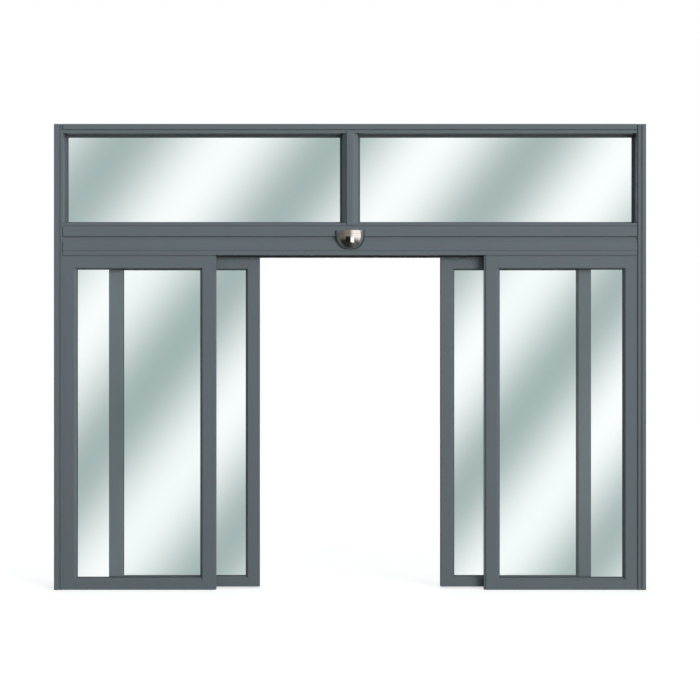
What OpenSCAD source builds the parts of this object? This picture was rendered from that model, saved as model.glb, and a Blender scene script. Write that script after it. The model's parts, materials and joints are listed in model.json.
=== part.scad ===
// Automatic bi-parting sliding door in powder-coated aluminium: two fixed side screens,
// two sliding leaves hung behind them, an operator header and a two-pane fanlight.
// Origin: wall face of the left jamb, at floor level and mid depth. X runs to the right
// across the door, -Y is the outside face and Z is up.

/* [Overall] */
// Overall width between the two wall faces
frame_w = 3900; // [3500:10:4700]
// Overall height from the floor to the top of the head
frame_h = 3070; // [2850:10:3700]
// Depth from the back of the leaves to the frame's inside face
back_room = 35; // [35:1:80]
// Height of the operator header's underside above the floor
door_h = 2206; // [2000:1:2650]

/* [Frame bars] */
// Face width of each jamb
jamb_face = 60; // [50:1:90]
// Distance from the wall face to the groove along the jamb
jamb_groove_at = 26; // [15:1:32]
// Width of the groove along the jamb
jamb_groove_w = 17; // [6:1:20]
// Depth of the groove along the jamb
jamb_groove_d = 6; // [2:0.5:10]
// Width of the set-back strip at the jamb's inner edge
jamb_strip_w = 8; // [4:1:9]
// Face height of the head rail
head_face = 60; // [50:1:90]
// Face height of the transom above the operator header
transom_face = 88; // [60:1:120]
// Height of the set-back strip beside the fanlight, on the head and the transom
strip_h = 17; // [12:1:24]
// Depth of that strip behind the frame's face
strip_d = 6; // [3:0.5:8]
// Height of the groove between the face and the set-back strip
rail_groove_h = 8; // [4:1:12]
// Depth of that groove behind the frame's face
rail_groove_d = 10; // [7:0.5:14]

/* [Fanlight] */
// Width of the mullion between the two panes
mullion_w = 105; // [80:1:140]
// Width of the slope on each side of the mullion's face
mullion_slope = 33; // [15:1:38]
// Height by which the mullion's face laps over the strips above and below it
mullion_lap = 13; // [5:1:17]
// Thickness of the fanlight glass
fan_glass_t = 10; // [6:1:24]
// Distance from the frame's outside face to the fanlight glass
fan_glass_set = 100; // [60:1:110]
// Height of the beads that hold the fanlight glass
fan_bead_h = 12; // [8:1:20]
// Depth of the beads that hold the fanlight glass
fan_bead_d = 12; // [8:1:20]
// Space between the edge of the fanlight glass and the frame
fan_glass_gap = 4; // [2:0.5:6]

/* [Operator header] */
// Height of the operator header
header_h = 124; // [118:1:170]
// Thickness of the header's covers
cover_t = 6; // [3:0.5:7]
// Height of the hollow curve at the top of each cover
cove_h = 40; // [25:1:50]
// Depth of that curve at its top
cove_d = 14; // [8:1:18]
// Height of the lip along the bottom of each cover
lip_h = 26; // [15:1:40]
// Height and depth of the groove above the lip
cover_groove = 4; // [2:0.5:4]
// Width of the slot in the underside that the leaf hangers pass through
slot_w = 24; // [18:1:30]

/* [Track] */
// Distance from the leaf's centre plane to the rail
rail_off = 16; // [14:0.5:19]
// Width of the rail that the wheels run on
rail_w = 6; // [4:0.5:8]
// Height of the rail above its shelf
rail_h = 8; // [6:0.5:10]
// Height of the shelf's underside above the header's underside
shelf_z = 36; // [30:1:40]
// Thickness of the track's shelf and web
track_t = 8; // [5:0.5:10]
// Thickness of the track's top plate
track_top_t = 12; // [8:0.5:14]

/* [Fixed screens] */
// Thickness of the fixed screens
screen_t = 50; // [40:1:60]
// Distance from the frame's face back to the fixed screens
screen_set = 8; // [8:1:15]
// Flat face of the stile beside the jamb
screen_jamb_flat = 74; // [50:1:100]
// Flat face of the stile at the opening, with its edge strip
screen_meet_flat = 88; // [60:1:110]
// Width of the set-back edge strip on that stile
edge_strip_w = 12; // [6:1:18]
// Depth of the set-back edge strip
edge_strip_d = 6; // [2:0.5:10]
// Flat face of the fixed screen's top rail
screen_top_flat = 84; // [50:1:110]
// Flat face of the fixed screen's bottom rail
screen_low_flat = 64; // [50:1:140]
// Width by which a fixed screen is wider than a leaf
screen_more = 6; // [0:1:20]

/* [Sliding leaves] */
// Thickness of the leaves
leaf_t = 50; // [40:1:52]
// Clear gap between the fixed screens and the leaves
leaf_gap = 17; // [12:1:20]
// Width by which a closed leaf overlaps the fixed screen
leaf_overlap = 118.5; // [60:0.5:160]
// Clear gap between the two nose seals when the door is shut
meet_gap = 5; // [5:1:10]
// Clear width between the leaves as they stand
rest_open = 1200; // [200:10:1500]
// Flat face of the leading stile
lead_flat = 74; // [50:1:100]
// Flat face of the trailing stile
trail_flat = 80; // [50:1:100]
// Flat face of the leaf's top rail
leaf_top_flat = 72; // [50:1:110]
// Flat face of the leaf's bottom rail
leaf_low_flat = 54; // [50:1:140]
// Gap between the leaves and the floor
floor_gap = 10; // [8:1:14]
// Gap between the leaves and the header's underside
head_gap = 12; // [10:0.5:14]
// Distance from the leaf's top edge down to its top groove
top_groove_at = 6; // [4:0.5:12]
// Height and depth of the leaf's top groove
top_groove = 4; // [2:0.5:5]
// Distance that the nose seal stands out of the leading edge
nose_out = 3; // [2:0.5:6]
// Width of the nose seal across the leaf
nose_w = 30; // [16:1:36]

/* [Glazing bars] */
// Width of the sloped bead beside the glass on the stiles
side_bead = 14; // [12.5:0.5:20]
// Height of the sloped bead above the bottom rails
low_bead = 16; // [12.5:0.5:20]
// Height of the sloped bead below the top rails
top_bead = 8; // [5:0.5:20]
// Thickness of the beads where they meet the glass
bead_nose = 18; // [16:0.5:24]
// Thickness of the glass in the screens and leaves
glass_t = 10; // [6:0.5:12]
// Depth to which the glass is held in the bars
glass_bite = 10; // [6:0.5:12]
// Side clearance between the glass and its groove
glass_side = 0.3; // [0.1:0.1:1]
// Clearance above and beside the glass edge
glass_edge = 2; // [1:0.5:4]
// Clearance under the glass edge
glass_seat = 0.3; // [0.1:0.1:0.5]

/* [Leaf hangers] */
// Length of each hanger along the leaf
hanger_l = 140; // [110:1:200]
// Thickness of the hanger plate and its foot
hanger_t = 5; // [4:0.5:6]
// Width of the hanger's foot across the leaf
foot_w = 34; // [24:1:40]
// Distance from each end of the leaf to its hanger
hanger_in = 170; // [60:1:200]
// Distance between the two wheels of a hanger
wheel_pitch = 90; // [60:1:100]
// Radius of the wheel's tread
tread_r = 17; // [14:0.5:19]
// Radius of the wheel's flanges
flange_r = 22; // [19:0.5:24]
// Width of the wheel
wheel_w = 12; // [10:0.5:14]
// Radius of the wheel pin
pin_r = 5; // [3:0.5:7]
// Running clearance at the wheels and their pins
wheel_clear = 0.3; // [0.1:0.1:0.5]

/* [Seals and floor guides] */
// Width of the brush seal
brush_w = 10; // [6:1:14]
// Distance from the fixed screen's edge to the brush seal
brush_in = 6; // [2:1:20]
// Clear gap between the brush seal and the leaf
brush_gap = 5; // [5:0.5:8]
// Height by which the brush seal stops short at each end
brush_short = 3; // [1:1:10]
// Length of the floor guide
guide_l = 100; // [60:1:150]
// Thickness of the floor guide's base
guide_base_t = 4; // [2:0.5:4]
// Thickness of the floor guide's fin
guide_fin_t = 6; // [4:0.5:8]
// Height of the fin above the floor
guide_fin_h = 28; // [20:1:32]
// Clear gap on each side of the fin and above it
guide_gap = 5; // [5:0.5:7]
// Radius of the screw holes in the floor guide
guide_hole_r = 3; // [2:0.5:4]

/* [Motion sensor] */
// Height of the sensor's underside above the header's underside
sensor_z = 40; // [20:1:50]
// Height of the sensor
sensor_h = 121; // [100:1:140]
// Radius of the sensor's bowl seen from above
sensor_r = 100; // [70:1:120]
// Distance that the bowl's axis lies behind the frame's face
sensor_back = 35; // [10:1:50]
// Height of the upright band at the top of the sensor
sensor_band_h = 26; // [10:1:40]
// Width of the groove under that band
sensor_groove = 2; // [1:0.5:4]

/* [Anchors] */
// Radius of the anchor holes
anchor_r = 5.25; // [4:0.25:8]
// Depth of the anchor holes
anchor_depth = 40; // [20:1:45]
// Number of anchor holes in each jamb and in the head
anchor_n = 4; // [2:1:6]
// Distance between the anchor holes up the jambs
anchor_pitch_z = 800; // [300:10:900]
// Height of the lowest anchor hole in the jambs
anchor_z0 = 335; // [100:5:500]
// Distance between the anchor holes along the head
anchor_pitch_x = 900; // [300:10:1000]

/* [Hidden] */
$fn = 72;
coat = "#60696D";
pane = [0.80, 0.88, 0.87, 0.45];
raw_alu = "#B4B7B9";
steel = "#9A9DA0";
rubber = "#26282A";
bristle = "#34373A";
chrome = "#D5D8DB";

eps = 1;
frame_d = screen_set + screen_t + leaf_gap + leaf_t + back_room;
half_d = frame_d / 2;
inner_x = frame_w / 2 - jamb_face;
transom_z = door_h + header_h;
fan_z0 = transom_z + transom_face;
fan_z1 = frame_h - head_face;
fan_glass_y = -half_d + fan_glass_set + fan_glass_t / 2;

leaf_w = (inner_x + leaf_overlap - meet_gap / 2 - screen_more) / 2;
leaf_body_w = leaf_w - nose_out;
leaf_h = door_h - head_gap - floor_gap;
screen_w = leaf_w + screen_more;
screen_y = -half_d + screen_set + screen_t / 2;
leaf_y = screen_y + screen_t / 2 + leaf_gap + leaf_t / 2;
leaf_edge_x = rest_open / 2 + nose_out;
free_x = inner_x - screen_w;

// Each sash is [width, height, thickness, outer stile, inner stile, top rail, bottom rail],
// and each bar is [flat, bead]
screen = [
    screen_w, door_h, screen_t,
    [screen_jamb_flat, side_bead], [screen_meet_flat, side_bead],
    [screen_top_flat, top_bead], [screen_low_flat, low_bead]
];
leaf = [
    leaf_body_w, leaf_h, leaf_t,
    [trail_flat, side_bead], [lead_flat, side_bead],
    [leaf_top_flat, top_bead], [leaf_low_flat, low_bead]
];

groove_bite = glass_bite + glass_edge;
guide_groove_w = guide_fin_t + 2 * guide_gap;
guide_groove_z = guide_fin_h + guide_gap + 3;
brush_d = leaf_gap - brush_gap;

rail_y = leaf_y + rail_off;
shelf_top = door_h + shelf_z + track_t;
axle_z = shelf_top + rail_h + wheel_clear + tread_r;
wheel_y0 = rail_y - wheel_w / 2;
web_y0 = rail_y + wheel_w / 2 + 6;
shelf_y0 = leaf_y + hanger_t / 2 + 6;
hanger_z0 = door_h - head_gap;
hanger_z1 = axle_z + pin_r + 8;

// ---- shared shapes ----

// Moves a piece drawn about the middle of the door to its place from the left wall face
module placed() {
    translate([frame_w / 2, 0, 0])
        children();
}

// A bar along X from x0 to x1 with its section given as [y, z] points
module bar_x(x0, x1, section) {
    translate([x0, 0, 0])
        rotate([90, 0, 90])
            linear_extrude(x1 - x0)
                polygon(section);
}

// A bar along Z from z0 to z1 with its section given as [x, y] points
module bar_z(z0, z1, section) {
    translate([0, 0, z0])
        linear_extrude(z1 - z0)
            polygon(section);
}

// A flat outline given as [x, z] points, as thick as t about the plane y = 0
module outline_y(t, points) {
    rotate([90, 0, 0])
        linear_extrude(t, center = true)
            polygon(points);
}

module box(x0, x1, y0, y1, z0, z1) {
    translate([x0, y0, z0])
        cube([x1 - x0, y1 - y0, z1 - z0]);
}

// Section across a sash bar: a flat face, then a bead that slopes in on both sides to the glass
function bar_section(t, flat, bead) = [
    [0, -t / 2], [flat, -t / 2], [flat + bead, -bead_nose / 2],
    [flat + bead, bead_nose / 2], [flat, t / 2], [0, t / 2]
];

// A stile that stands the full height of sash s, with its outer edge at x = 0
module stile(s, bar) {
    h = s[1];
    low = s[6];
    top = s[5];
    x1 = bar[0];
    x2 = bar[0] + bar[1];
    intersection() {
        bar_z(0, h, bar_section(s[2], bar[0], bar[1]));
        outline_y(s[2] + 2 * eps, [
            [0, 0], [x1, 0], [x1, low[0]], [x2, low[0] + low[1]],
            [x2, h - top[0] - top[1]], [x1, h - top[0]], [x1, h], [0, h]
        ]);
    }
}

// A rail between the flats of the two stiles of sash s, with its outer edge at z = 0
module rail(s, bar) {
    a = s[3];
    b = s[4];
    w = s[0];
    z2 = bar[0] + bar[1];
    section = [for (p = bar_section(s[2], bar[0], bar[1])) [p[1], p[0]]];
    intersection() {
        bar_x(a[0], w - b[0], section);
        outline_y(s[2] + 2 * eps, [
            [a[0], 0], [w - b[0], 0], [w - b[0], bar[0]], [w - b[0] - b[1], z2],
            [a[0] + a[1], z2], [a[0], bar[0]]
        ]);
    }
}

// The room that the glass of sash s takes in its bars, with a gap at its sides and edges
module glass_room(s, side, edge, seat) {
    inset = glass_bite;
    box(
        s[3][0] + s[3][1] - inset - edge, s[0] - s[4][0] - s[4][1] + inset + edge,
        -glass_t / 2 - side, glass_t / 2 + side,
        s[6][0] + s[6][1] - inset - seat, s[1] - s[5][0] - s[5][1] + min(inset, s[5][0] - 2) + edge
    );
}

module sash_outer_stile(s) {
    difference() {
        stile(s, s[3]);
        glass_room(s, glass_side, glass_edge, glass_seat);
    }
}

module sash_inner_stile(s) {
    difference() {
        translate([s[0], 0, 0])
            mirror([1, 0, 0])
                stile(s, s[4]);
        glass_room(s, glass_side, glass_edge, glass_seat);
    }
}

module sash_top_rail(s) {
    difference() {
        translate([0, 0, s[1]])
            mirror([0, 0, 1])
                rail(s, s[5]);
        glass_room(s, glass_side, glass_edge, glass_seat);
    }
}

module sash_bottom_rail(s) {
    difference() {
        rail(s, s[6]);
        glass_room(s, glass_side, glass_edge, glass_seat);
    }
}

module sash_glass(s) {
    glass_room(s, 0, 0, 0);
}

// Puts a sash drawn from its outer edge on the left side of the door, on the fixed plane
module at_screen() {
    translate([-inner_x, screen_y, 0])
        children();
}

// Puts a sash drawn from its trailing edge at its rest place on the left, on the sliding plane
module at_leaf() {
    translate([-leaf_edge_x - leaf_body_w, leaf_y, floor_gap])
        children();
}

// Blind holes for the anchors that hold a bar to the wall, drilled along +Z from z = 0
module anchor_hole() {
    translate([0, 0, -eps])
        cylinder(h = anchor_depth + eps, r = anchor_r);
}

// ---- frame ----

module jamb() {
    x0 = -frame_w / 2;
    x1 = x0 + jamb_face;
    g0 = x0 + jamb_groove_at;
    g1 = g0 + jamb_groove_w;
    yg = half_d - jamb_groove_d;
    ys = half_d - screen_set;
    xs = x1 - jamb_strip_w;
    difference() {
        bar_z(0, frame_h, [
            [x0, -half_d], [g0, -half_d], [g0, -yg], [g1, -yg], [g1, -half_d],
            [xs, -half_d], [xs, -ys], [x1, -ys], [x1, ys], [xs, ys],
            [xs, half_d], [g1, half_d], [g1, yg], [g0, yg], [g0, half_d], [x0, half_d]
        ]);
        for (i = [0 : anchor_n - 1])
            translate([x0, 0, anchor_z0 + i * anchor_pitch_z])
                rotate([0, 90, 0])
                    anchor_hole();
    }
}

// Section of a rail beside the fanlight, from its plain edge z0 to its strip edge z1
function frame_rail_section(z0, z1) =
    let (
        up = z1 > z0 ? 1 : -1,
        zb = z1 - up * strip_h,
        za = zb - up * rail_groove_h,
        yb = half_d - strip_d,
        yg = half_d - rail_groove_d
    )
    [
        [-half_d, z0], [-half_d, za], [-yg, za], [-yg, zb], [-yb, zb], [-yb, z1],
        [yb, z1], [yb, zb], [yg, zb], [yg, za], [half_d, za], [half_d, z0]
    ];

module head_bar() {
    difference() {
        bar_x(-inner_x, inner_x, frame_rail_section(frame_h, fan_z1));
        for (i = [0 : anchor_n - 1])
            translate([(i - (anchor_n - 1) / 2) * anchor_pitch_x, 0, frame_h])
                mirror([0, 0, 1])
                    anchor_hole();
    }
}

module transom_bar() {
    bar_x(-inner_x, inner_x, frame_rail_section(transom_z, fan_z0));
}

// ---- fanlight ----

module mullion_post() {
    w = mullion_w / 2;
    f = w - mullion_slope;
    yb = half_d - strip_d;
    section = [
        [-w, -half_d + mullion_slope], [-f, -half_d], [f, -half_d],
        [w, -half_d + mullion_slope], [w, half_d - mullion_slope],
        [f, half_d], [-f, half_d], [-w, half_d - mullion_slope]
    ];
    bar_z(fan_z0, fan_z1, section);
    difference() {
        bar_z(fan_z0 - mullion_lap, fan_z1 + mullion_lap, section);
        box(-w - eps, w + eps, -yb, yb, fan_z0 - mullion_lap - eps, fan_z1 + mullion_lap + eps);
    }
}

module fan_glass() {
    box(
        mullion_w / 2 + fan_glass_gap, inner_x - fan_glass_gap,
        fan_glass_y - fan_glass_t / 2, fan_glass_y + fan_glass_t / 2,
        fan_z0 + fan_glass_gap, fan_z1 - fan_glass_gap
    );
}

// A pair of beads, one on each side of the glass, that fill the given part of the pane
module bead_pair(x0, x1, z0, z1) {
    for (side = [-1, 1])
        translate([0, fan_glass_y + side * (fan_glass_t + fan_bead_d) / 2, 0])
            box(x0, x1, -fan_bead_d / 2, fan_bead_d / 2, z0, z1);
}

module level_beads(z0) {
    for (side = [0, 1])
        mirror([side, 0, 0])
            bead_pair(mullion_w / 2, inner_x, z0, z0 + fan_bead_h);
}

module upright_beads(x0) {
    bead_pair(x0, x0 + fan_bead_h, fan_z0 + fan_bead_h, fan_z1 - fan_bead_h);
}

// ---- operator header ----

// A cover on the outside of the header, whose bottom flange runs back to y = flange_y
module header_cover(flange_y) {
    z1 = transom_z;
    cove_r = (cove_d * cove_d + cove_h * cove_h) / (2 * cove_d);
    difference() {
        bar_x(-inner_x, inner_x, [
            [-half_d, door_h], [flange_y, door_h], [flange_y, door_h + cover_t],
            [-half_d + cover_t, door_h + cover_t], [-half_d + cover_t, z1 - cove_h - 4],
            [-half_d + cove_d + cover_t, z1 - 4], [-half_d + cove_d + cover_t, z1],
            [-half_d, z1]
        ]);
        translate([-inner_x - eps, -half_d + cove_d - cove_r, z1])
            rotate([0, 90, 0])
                cylinder(h = 2 * (inner_x + eps), r = cove_r, $fn = 180);
        box(
            -inner_x - eps, inner_x + eps, -half_d - eps, -half_d + cover_groove,
            door_h + lip_h, door_h + lip_h + cover_groove
        );
    }
}

// The track under the transom: a top plate, a web and a shelf with the rail on it
module track() {
    y1 = web_y0 + track_t;
    zs = shelf_top - track_t;
    bar_x(-inner_x, inner_x, [
        [shelf_y0, zs], [y1, zs], [y1, transom_z], [leaf_y - slot_w, transom_z],
        [leaf_y - slot_w, transom_z - track_top_t], [web_y0, transom_z - track_top_t],
        [web_y0, shelf_top], [rail_y + rail_w / 2, shelf_top],
        [rail_y + rail_w / 2, shelf_top + rail_h], [rail_y - rail_w / 2, shelf_top + rail_h],
        [rail_y - rail_w / 2, shelf_top], [shelf_y0, shelf_top]
    ]);
}

// The motion sensor: half of a round bowl with an upright band at its top
module sensor() {
    z0 = door_h + sensor_z;
    bowl_h = sensor_h - sensor_band_h;
    steps = 20;
    bowl = [for (i = [0 : steps])
        let (a = 90 * i / steps)
        [sensor_r * (0.34 + 0.66 * sin(a)), bowl_h * (1 - cos(a))]];
    difference() {
        translate([0, -half_d + sensor_back, z0])
            rotate_extrude()
                polygon(concat(
                    [[0, 0]], bowl,
                    [
                        [sensor_r - sensor_groove, bowl_h],
                        [sensor_r - sensor_groove, bowl_h + sensor_groove],
                        [sensor_r, bowl_h + sensor_groove], [sensor_r, sensor_h], [0, sensor_h]
                    ]
                ));
        box(
            -2 * sensor_r, 2 * sensor_r, -half_d, -half_d + 3 * sensor_r,
            z0 - eps, z0 + sensor_h + eps
        );
    }
}

// ---- seals, guides and hangers ----

module brush() {
    y0 = screen_y + screen_t / 2;
    x1 = -free_x - brush_in;
    holder_d = brush_d * 0.45;
    box(x1 - brush_w, x1, y0, y0 + holder_d, brush_short, door_h - brush_short);
    box(
        x1 - brush_w * 0.75, x1 - brush_w * 0.25,
        y0, y0 + brush_d, brush_short, door_h - brush_short
    );
}

module floor_guide() {
    x1 = -free_x - brush_in - brush_w - guide_base_t;
    x0 = x1 - guide_l;
    y0 = screen_y + screen_t / 2;
    y1 = leaf_y + guide_fin_t / 2;
    difference() {
        union() {
            box(x0, x1, y0, y1, 0, guide_base_t);
            box(x0, x1, y1 - guide_fin_t, y1, 0, guide_fin_h);
        }
        for (x = [x0 + guide_l / 4, x1 - guide_l / 4])
            translate([x, y0 + leaf_gap / 2 + 2, -eps])
                cylinder(h = guide_base_t + 2 * eps, r = guide_hole_r);
    }
}

// The groove in a leaf's bottom edge that the floor guide's fin stands in
module guide_groove() {
    box(
        -eps, leaf_body_w + eps, -guide_groove_w / 2, guide_groove_w / 2,
        -eps, guide_groove_z - floor_gap
    );
}

// The groove near the top edge of a leaf, on both faces
module leaf_top_groove() {
    z1 = leaf_h - top_groove_at;
    for (side = [-1, 1])
        translate([0, side * leaf_t / 2, 0])
            box(
                -eps, leaf_body_w + eps, -top_groove, top_groove,
                z1 - top_groove, z1
            );
}

module leaf_bar() {
    difference() {
        children();
        guide_groove();
        leaf_top_groove();
    }
}

module wheel() {
    inner = (rail_w + 1) / 2;
    rotate([-90, 0, 0])
        rotate_extrude()
            polygon([
                [pin_r + wheel_clear, -wheel_w / 2], [flange_r, -wheel_w / 2],
                [flange_r, -inner], [tread_r, -inner], [tread_r, inner],
                [flange_r, inner], [flange_r, wheel_w / 2], [pin_r + wheel_clear, wheel_w / 2]
            ]);
}

// One hanger about x = 0: a foot on the leaf, an upright plate and two wheels on pins
module hanger() {
    box(-hanger_l / 2, hanger_l / 2, leaf_y - foot_w / 2, leaf_y + foot_w / 2,
        hanger_z0, hanger_z0 + hanger_t);
    box(-hanger_l / 2, hanger_l / 2, leaf_y - hanger_t / 2, leaf_y + hanger_t / 2,
        hanger_z0, hanger_z1);
    for (x = [-wheel_pitch / 2, wheel_pitch / 2])
        translate([x, leaf_y, axle_z])
            rotate([-90, 0, 0])
                cylinder(h = rail_off + wheel_w / 2 + 1, r = pin_r);
}

module leaf_hangers() {
    x_trail = -leaf_edge_x - leaf_body_w + hanger_in + hanger_l / 2;
    x_lead = -leaf_edge_x - hanger_in - hanger_l / 2;
    for (x = [x_trail, x_lead])
        translate([x, 0, 0]) {
            hanger();
            for (dx = [-wheel_pitch / 2, wheel_pitch / 2])
                translate([dx, rail_y, axle_z])
                    wheel();
        }
}

module nose_seal() {
    box(
        -leaf_edge_x, -leaf_edge_x + nose_out, leaf_y - nose_w / 2, leaf_y + nose_w / 2,
        floor_gap, floor_gap + leaf_h
    );
}

// ---- one module per piece ----

module left_jamb() {
    color(coat) placed() jamb();
}

module right_jamb() {
    color(coat) placed() mirror([1, 0, 0]) jamb();
}

module head_rail() {
    color(coat) placed() head_bar();
}

module transom() {
    color(coat) placed() transom_bar();
}

module fanlight_mullion() {
    color(coat) placed() mullion_post();
}

module fanlight_glass_left() {
    color(pane) placed() mirror([1, 0, 0]) fan_glass();
}

module fanlight_glass_right() {
    color(pane) placed() fan_glass();
}

module fanlight_top_beads() {
    color(coat) placed() level_beads(fan_z1 - fan_bead_h);
}

module fanlight_bottom_beads() {
    color(coat) placed() level_beads(fan_z0);
}

module fanlight_left_beads() {
    color(coat) placed() upright_beads(-inner_x);
}

module fanlight_right_beads() {
    color(coat) placed() upright_beads(inner_x - fan_bead_h);
}

module fanlight_mullion_beads() {
    color(coat) placed() {
        upright_beads(-mullion_w / 2 - fan_bead_h);
        upright_beads(mullion_w / 2);
    }
}

module header_cover_front() {
    color(coat) placed() header_cover(leaf_y - slot_w / 2);
}

module header_cover_back() {
    color(coat) placed() mirror([0, 1, 0]) header_cover(-leaf_y - slot_w / 2);
}

module header_track() {
    color(raw_alu) placed() track();
}

module sensor_front() {
    color(chrome) placed() sensor();
}

module sensor_back() {
    color(chrome) placed() mirror([0, 1, 0]) sensor();
}

module left_screen_jamb_stile() {
    color(coat) placed() at_screen() sash_outer_stile(screen);
}

// The stile at the opening also has a set-back strip along its outer face edge
module left_screen_meeting_stile() {
    color(coat) placed() at_screen()
        difference() {
            sash_inner_stile(screen);
            box(
                screen_w - edge_strip_w, screen_w + eps, -screen_t / 2 - eps,
                -screen_t / 2 + edge_strip_d, -eps, door_h + eps
            );
        }
}

module left_screen_top_rail() {
    color(coat) placed() at_screen() sash_top_rail(screen);
}

module left_screen_bottom_rail() {
    color(coat) placed() at_screen() sash_bottom_rail(screen);
}

module left_screen_glass() {
    color(pane) placed() at_screen() sash_glass(screen);
}

module left_brush_seal() {
    color(bristle) placed() brush();
}

module left_leaf_trailing_stile() {
    color(coat) placed() at_leaf() leaf_bar() sash_outer_stile(leaf);
}

module left_leaf_leading_stile() {
    color(coat) placed() at_leaf() leaf_bar() sash_inner_stile(leaf);
}

module left_leaf_top_rail() {
    color(coat) placed() at_leaf() leaf_bar() sash_top_rail(leaf);
}

module left_leaf_bottom_rail() {
    color(coat) placed() at_leaf() leaf_bar() sash_bottom_rail(leaf);
}

module left_leaf_glass() {
    color(pane) placed() at_leaf() sash_glass(leaf);
}

module left_leaf_nose_seal() {
    color(rubber) placed() nose_seal();
}

module left_leaf_carriages() {
    color(steel) placed() leaf_hangers();
}

module left_floor_guide() {
    color(steel) placed() floor_guide();
}

// Turns a left-hand piece over to the right-hand half of the door
module other_half() {
    translate([frame_w, 0, 0])
        mirror([1, 0, 0])
            children();
}

module right_screen_jamb_stile() {
    other_half() left_screen_jamb_stile();
}

module right_screen_meeting_stile() {
    other_half() left_screen_meeting_stile();
}

module right_screen_top_rail() {
    other_half() left_screen_top_rail();
}

module right_screen_bottom_rail() {
    other_half() left_screen_bottom_rail();
}

module right_screen_glass() {
    other_half() left_screen_glass();
}

module right_brush_seal() {
    other_half() left_brush_seal();
}

module right_leaf_trailing_stile() {
    other_half() left_leaf_trailing_stile();
}

module right_leaf_leading_stile() {
    other_half() left_leaf_leading_stile();
}

module right_leaf_top_rail() {
    other_half() left_leaf_top_rail();
}

module right_leaf_bottom_rail() {
    other_half() left_leaf_bottom_rail();
}

module right_leaf_glass() {
    other_half() left_leaf_glass();
}

module right_leaf_nose_seal() {
    other_half() left_leaf_nose_seal();
}

module right_leaf_carriages() {
    other_half() left_leaf_carriages();
}

module right_floor_guide() {
    other_half() left_floor_guide();
}

left_jamb();
right_jamb();
head_rail();
transom();
fanlight_mullion();
fanlight_glass_left();
fanlight_glass_right();
fanlight_top_beads();
fanlight_bottom_beads();
fanlight_left_beads();
fanlight_right_beads();
fanlight_mullion_beads();
header_cover_front();
header_cover_back();
header_track();
sensor_front();
sensor_back();
left_screen_jamb_stile();
left_screen_meeting_stile();
left_screen_top_rail();
left_screen_bottom_rail();
left_screen_glass();
left_brush_seal();
right_screen_jamb_stile();
right_screen_meeting_stile();
right_screen_top_rail();
right_screen_bottom_rail();
right_screen_glass();
right_brush_seal();
left_leaf_trailing_stile();
left_leaf_leading_stile();
left_leaf_top_rail();
left_leaf_bottom_rail();
left_leaf_glass();
left_leaf_nose_seal();
left_leaf_carriages();
right_leaf_trailing_stile();
right_leaf_leading_stile();
right_leaf_top_rail();
right_leaf_bottom_rail();
right_leaf_glass();
right_leaf_nose_seal();
right_leaf_carriages();
left_floor_guide();
right_floor_guide();
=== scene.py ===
import json
import math

import bmesh
import bpy
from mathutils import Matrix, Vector


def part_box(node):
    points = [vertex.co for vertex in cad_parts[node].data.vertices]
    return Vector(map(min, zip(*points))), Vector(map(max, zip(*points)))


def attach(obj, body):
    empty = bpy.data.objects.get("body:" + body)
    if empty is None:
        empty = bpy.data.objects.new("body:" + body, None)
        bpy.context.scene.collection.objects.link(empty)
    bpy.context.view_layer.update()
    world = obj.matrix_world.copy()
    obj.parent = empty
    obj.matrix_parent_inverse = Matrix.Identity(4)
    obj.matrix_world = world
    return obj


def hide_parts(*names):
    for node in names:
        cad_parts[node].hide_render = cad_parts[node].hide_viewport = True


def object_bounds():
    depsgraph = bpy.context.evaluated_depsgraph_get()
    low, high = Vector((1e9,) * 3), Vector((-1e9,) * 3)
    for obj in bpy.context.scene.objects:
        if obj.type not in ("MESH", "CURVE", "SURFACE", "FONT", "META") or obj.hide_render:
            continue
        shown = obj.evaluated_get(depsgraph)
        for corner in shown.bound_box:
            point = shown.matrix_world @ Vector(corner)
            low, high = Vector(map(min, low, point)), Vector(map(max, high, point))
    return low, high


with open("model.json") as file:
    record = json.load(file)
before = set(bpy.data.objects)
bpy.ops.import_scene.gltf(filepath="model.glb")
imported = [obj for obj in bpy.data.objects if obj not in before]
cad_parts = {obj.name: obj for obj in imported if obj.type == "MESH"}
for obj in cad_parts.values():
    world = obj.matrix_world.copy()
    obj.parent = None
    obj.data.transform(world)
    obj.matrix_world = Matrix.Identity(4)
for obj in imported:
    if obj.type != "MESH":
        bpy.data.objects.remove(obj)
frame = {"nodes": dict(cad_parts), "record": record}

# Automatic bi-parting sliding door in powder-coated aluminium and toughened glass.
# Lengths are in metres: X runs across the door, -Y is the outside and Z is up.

cad_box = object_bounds()
scene = bpy.context.scene

# ---- Camera -----------------------------------------------------------------------------
# Stands square in front of the middle of the passage, at the eye height of a standing
# person, so that the two halves of the door look the same.

door_low, door_high = cad_box
door_middle = (door_low.x + door_high.x) / 2
outside_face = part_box("left_jamb")[0].y
eye_distance = 9.0
eye_height = 1.581

camera_data = bpy.data.cameras.new("camera")
camera_data.sensor_width = 36
camera_data.lens = 70.3
camera = bpy.data.objects.new("camera", camera_data)
camera.location = (door_middle, outside_face - eye_distance, eye_height)
camera.rotation_euler = (math.radians(90), 0, 0)
scene.collection.objects.link(camera)
scene.camera = camera
scene.view_settings.view_transform = "Standard"

# ---- Studio surroundings ----------------------------------------------------------------
# A white studio. Through the glass it shows as broad diagonal bands of light and shade.
# Polished metal mirrors a bright right side, a dark floor and left side, and one window.


def linear(hex_colour):
    """A colour written as sRGB hex, as the linear numbers that shaders take."""
    parts = [int(hex_colour[i : i + 2], 16) / 255 for i in (1, 3, 5)]
    return tuple(
        c / 12.92 if c <= 0.04045 else ((c + 0.055) / 1.055) ** 2.4 for c in parts
    ) + (1.0,)


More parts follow.
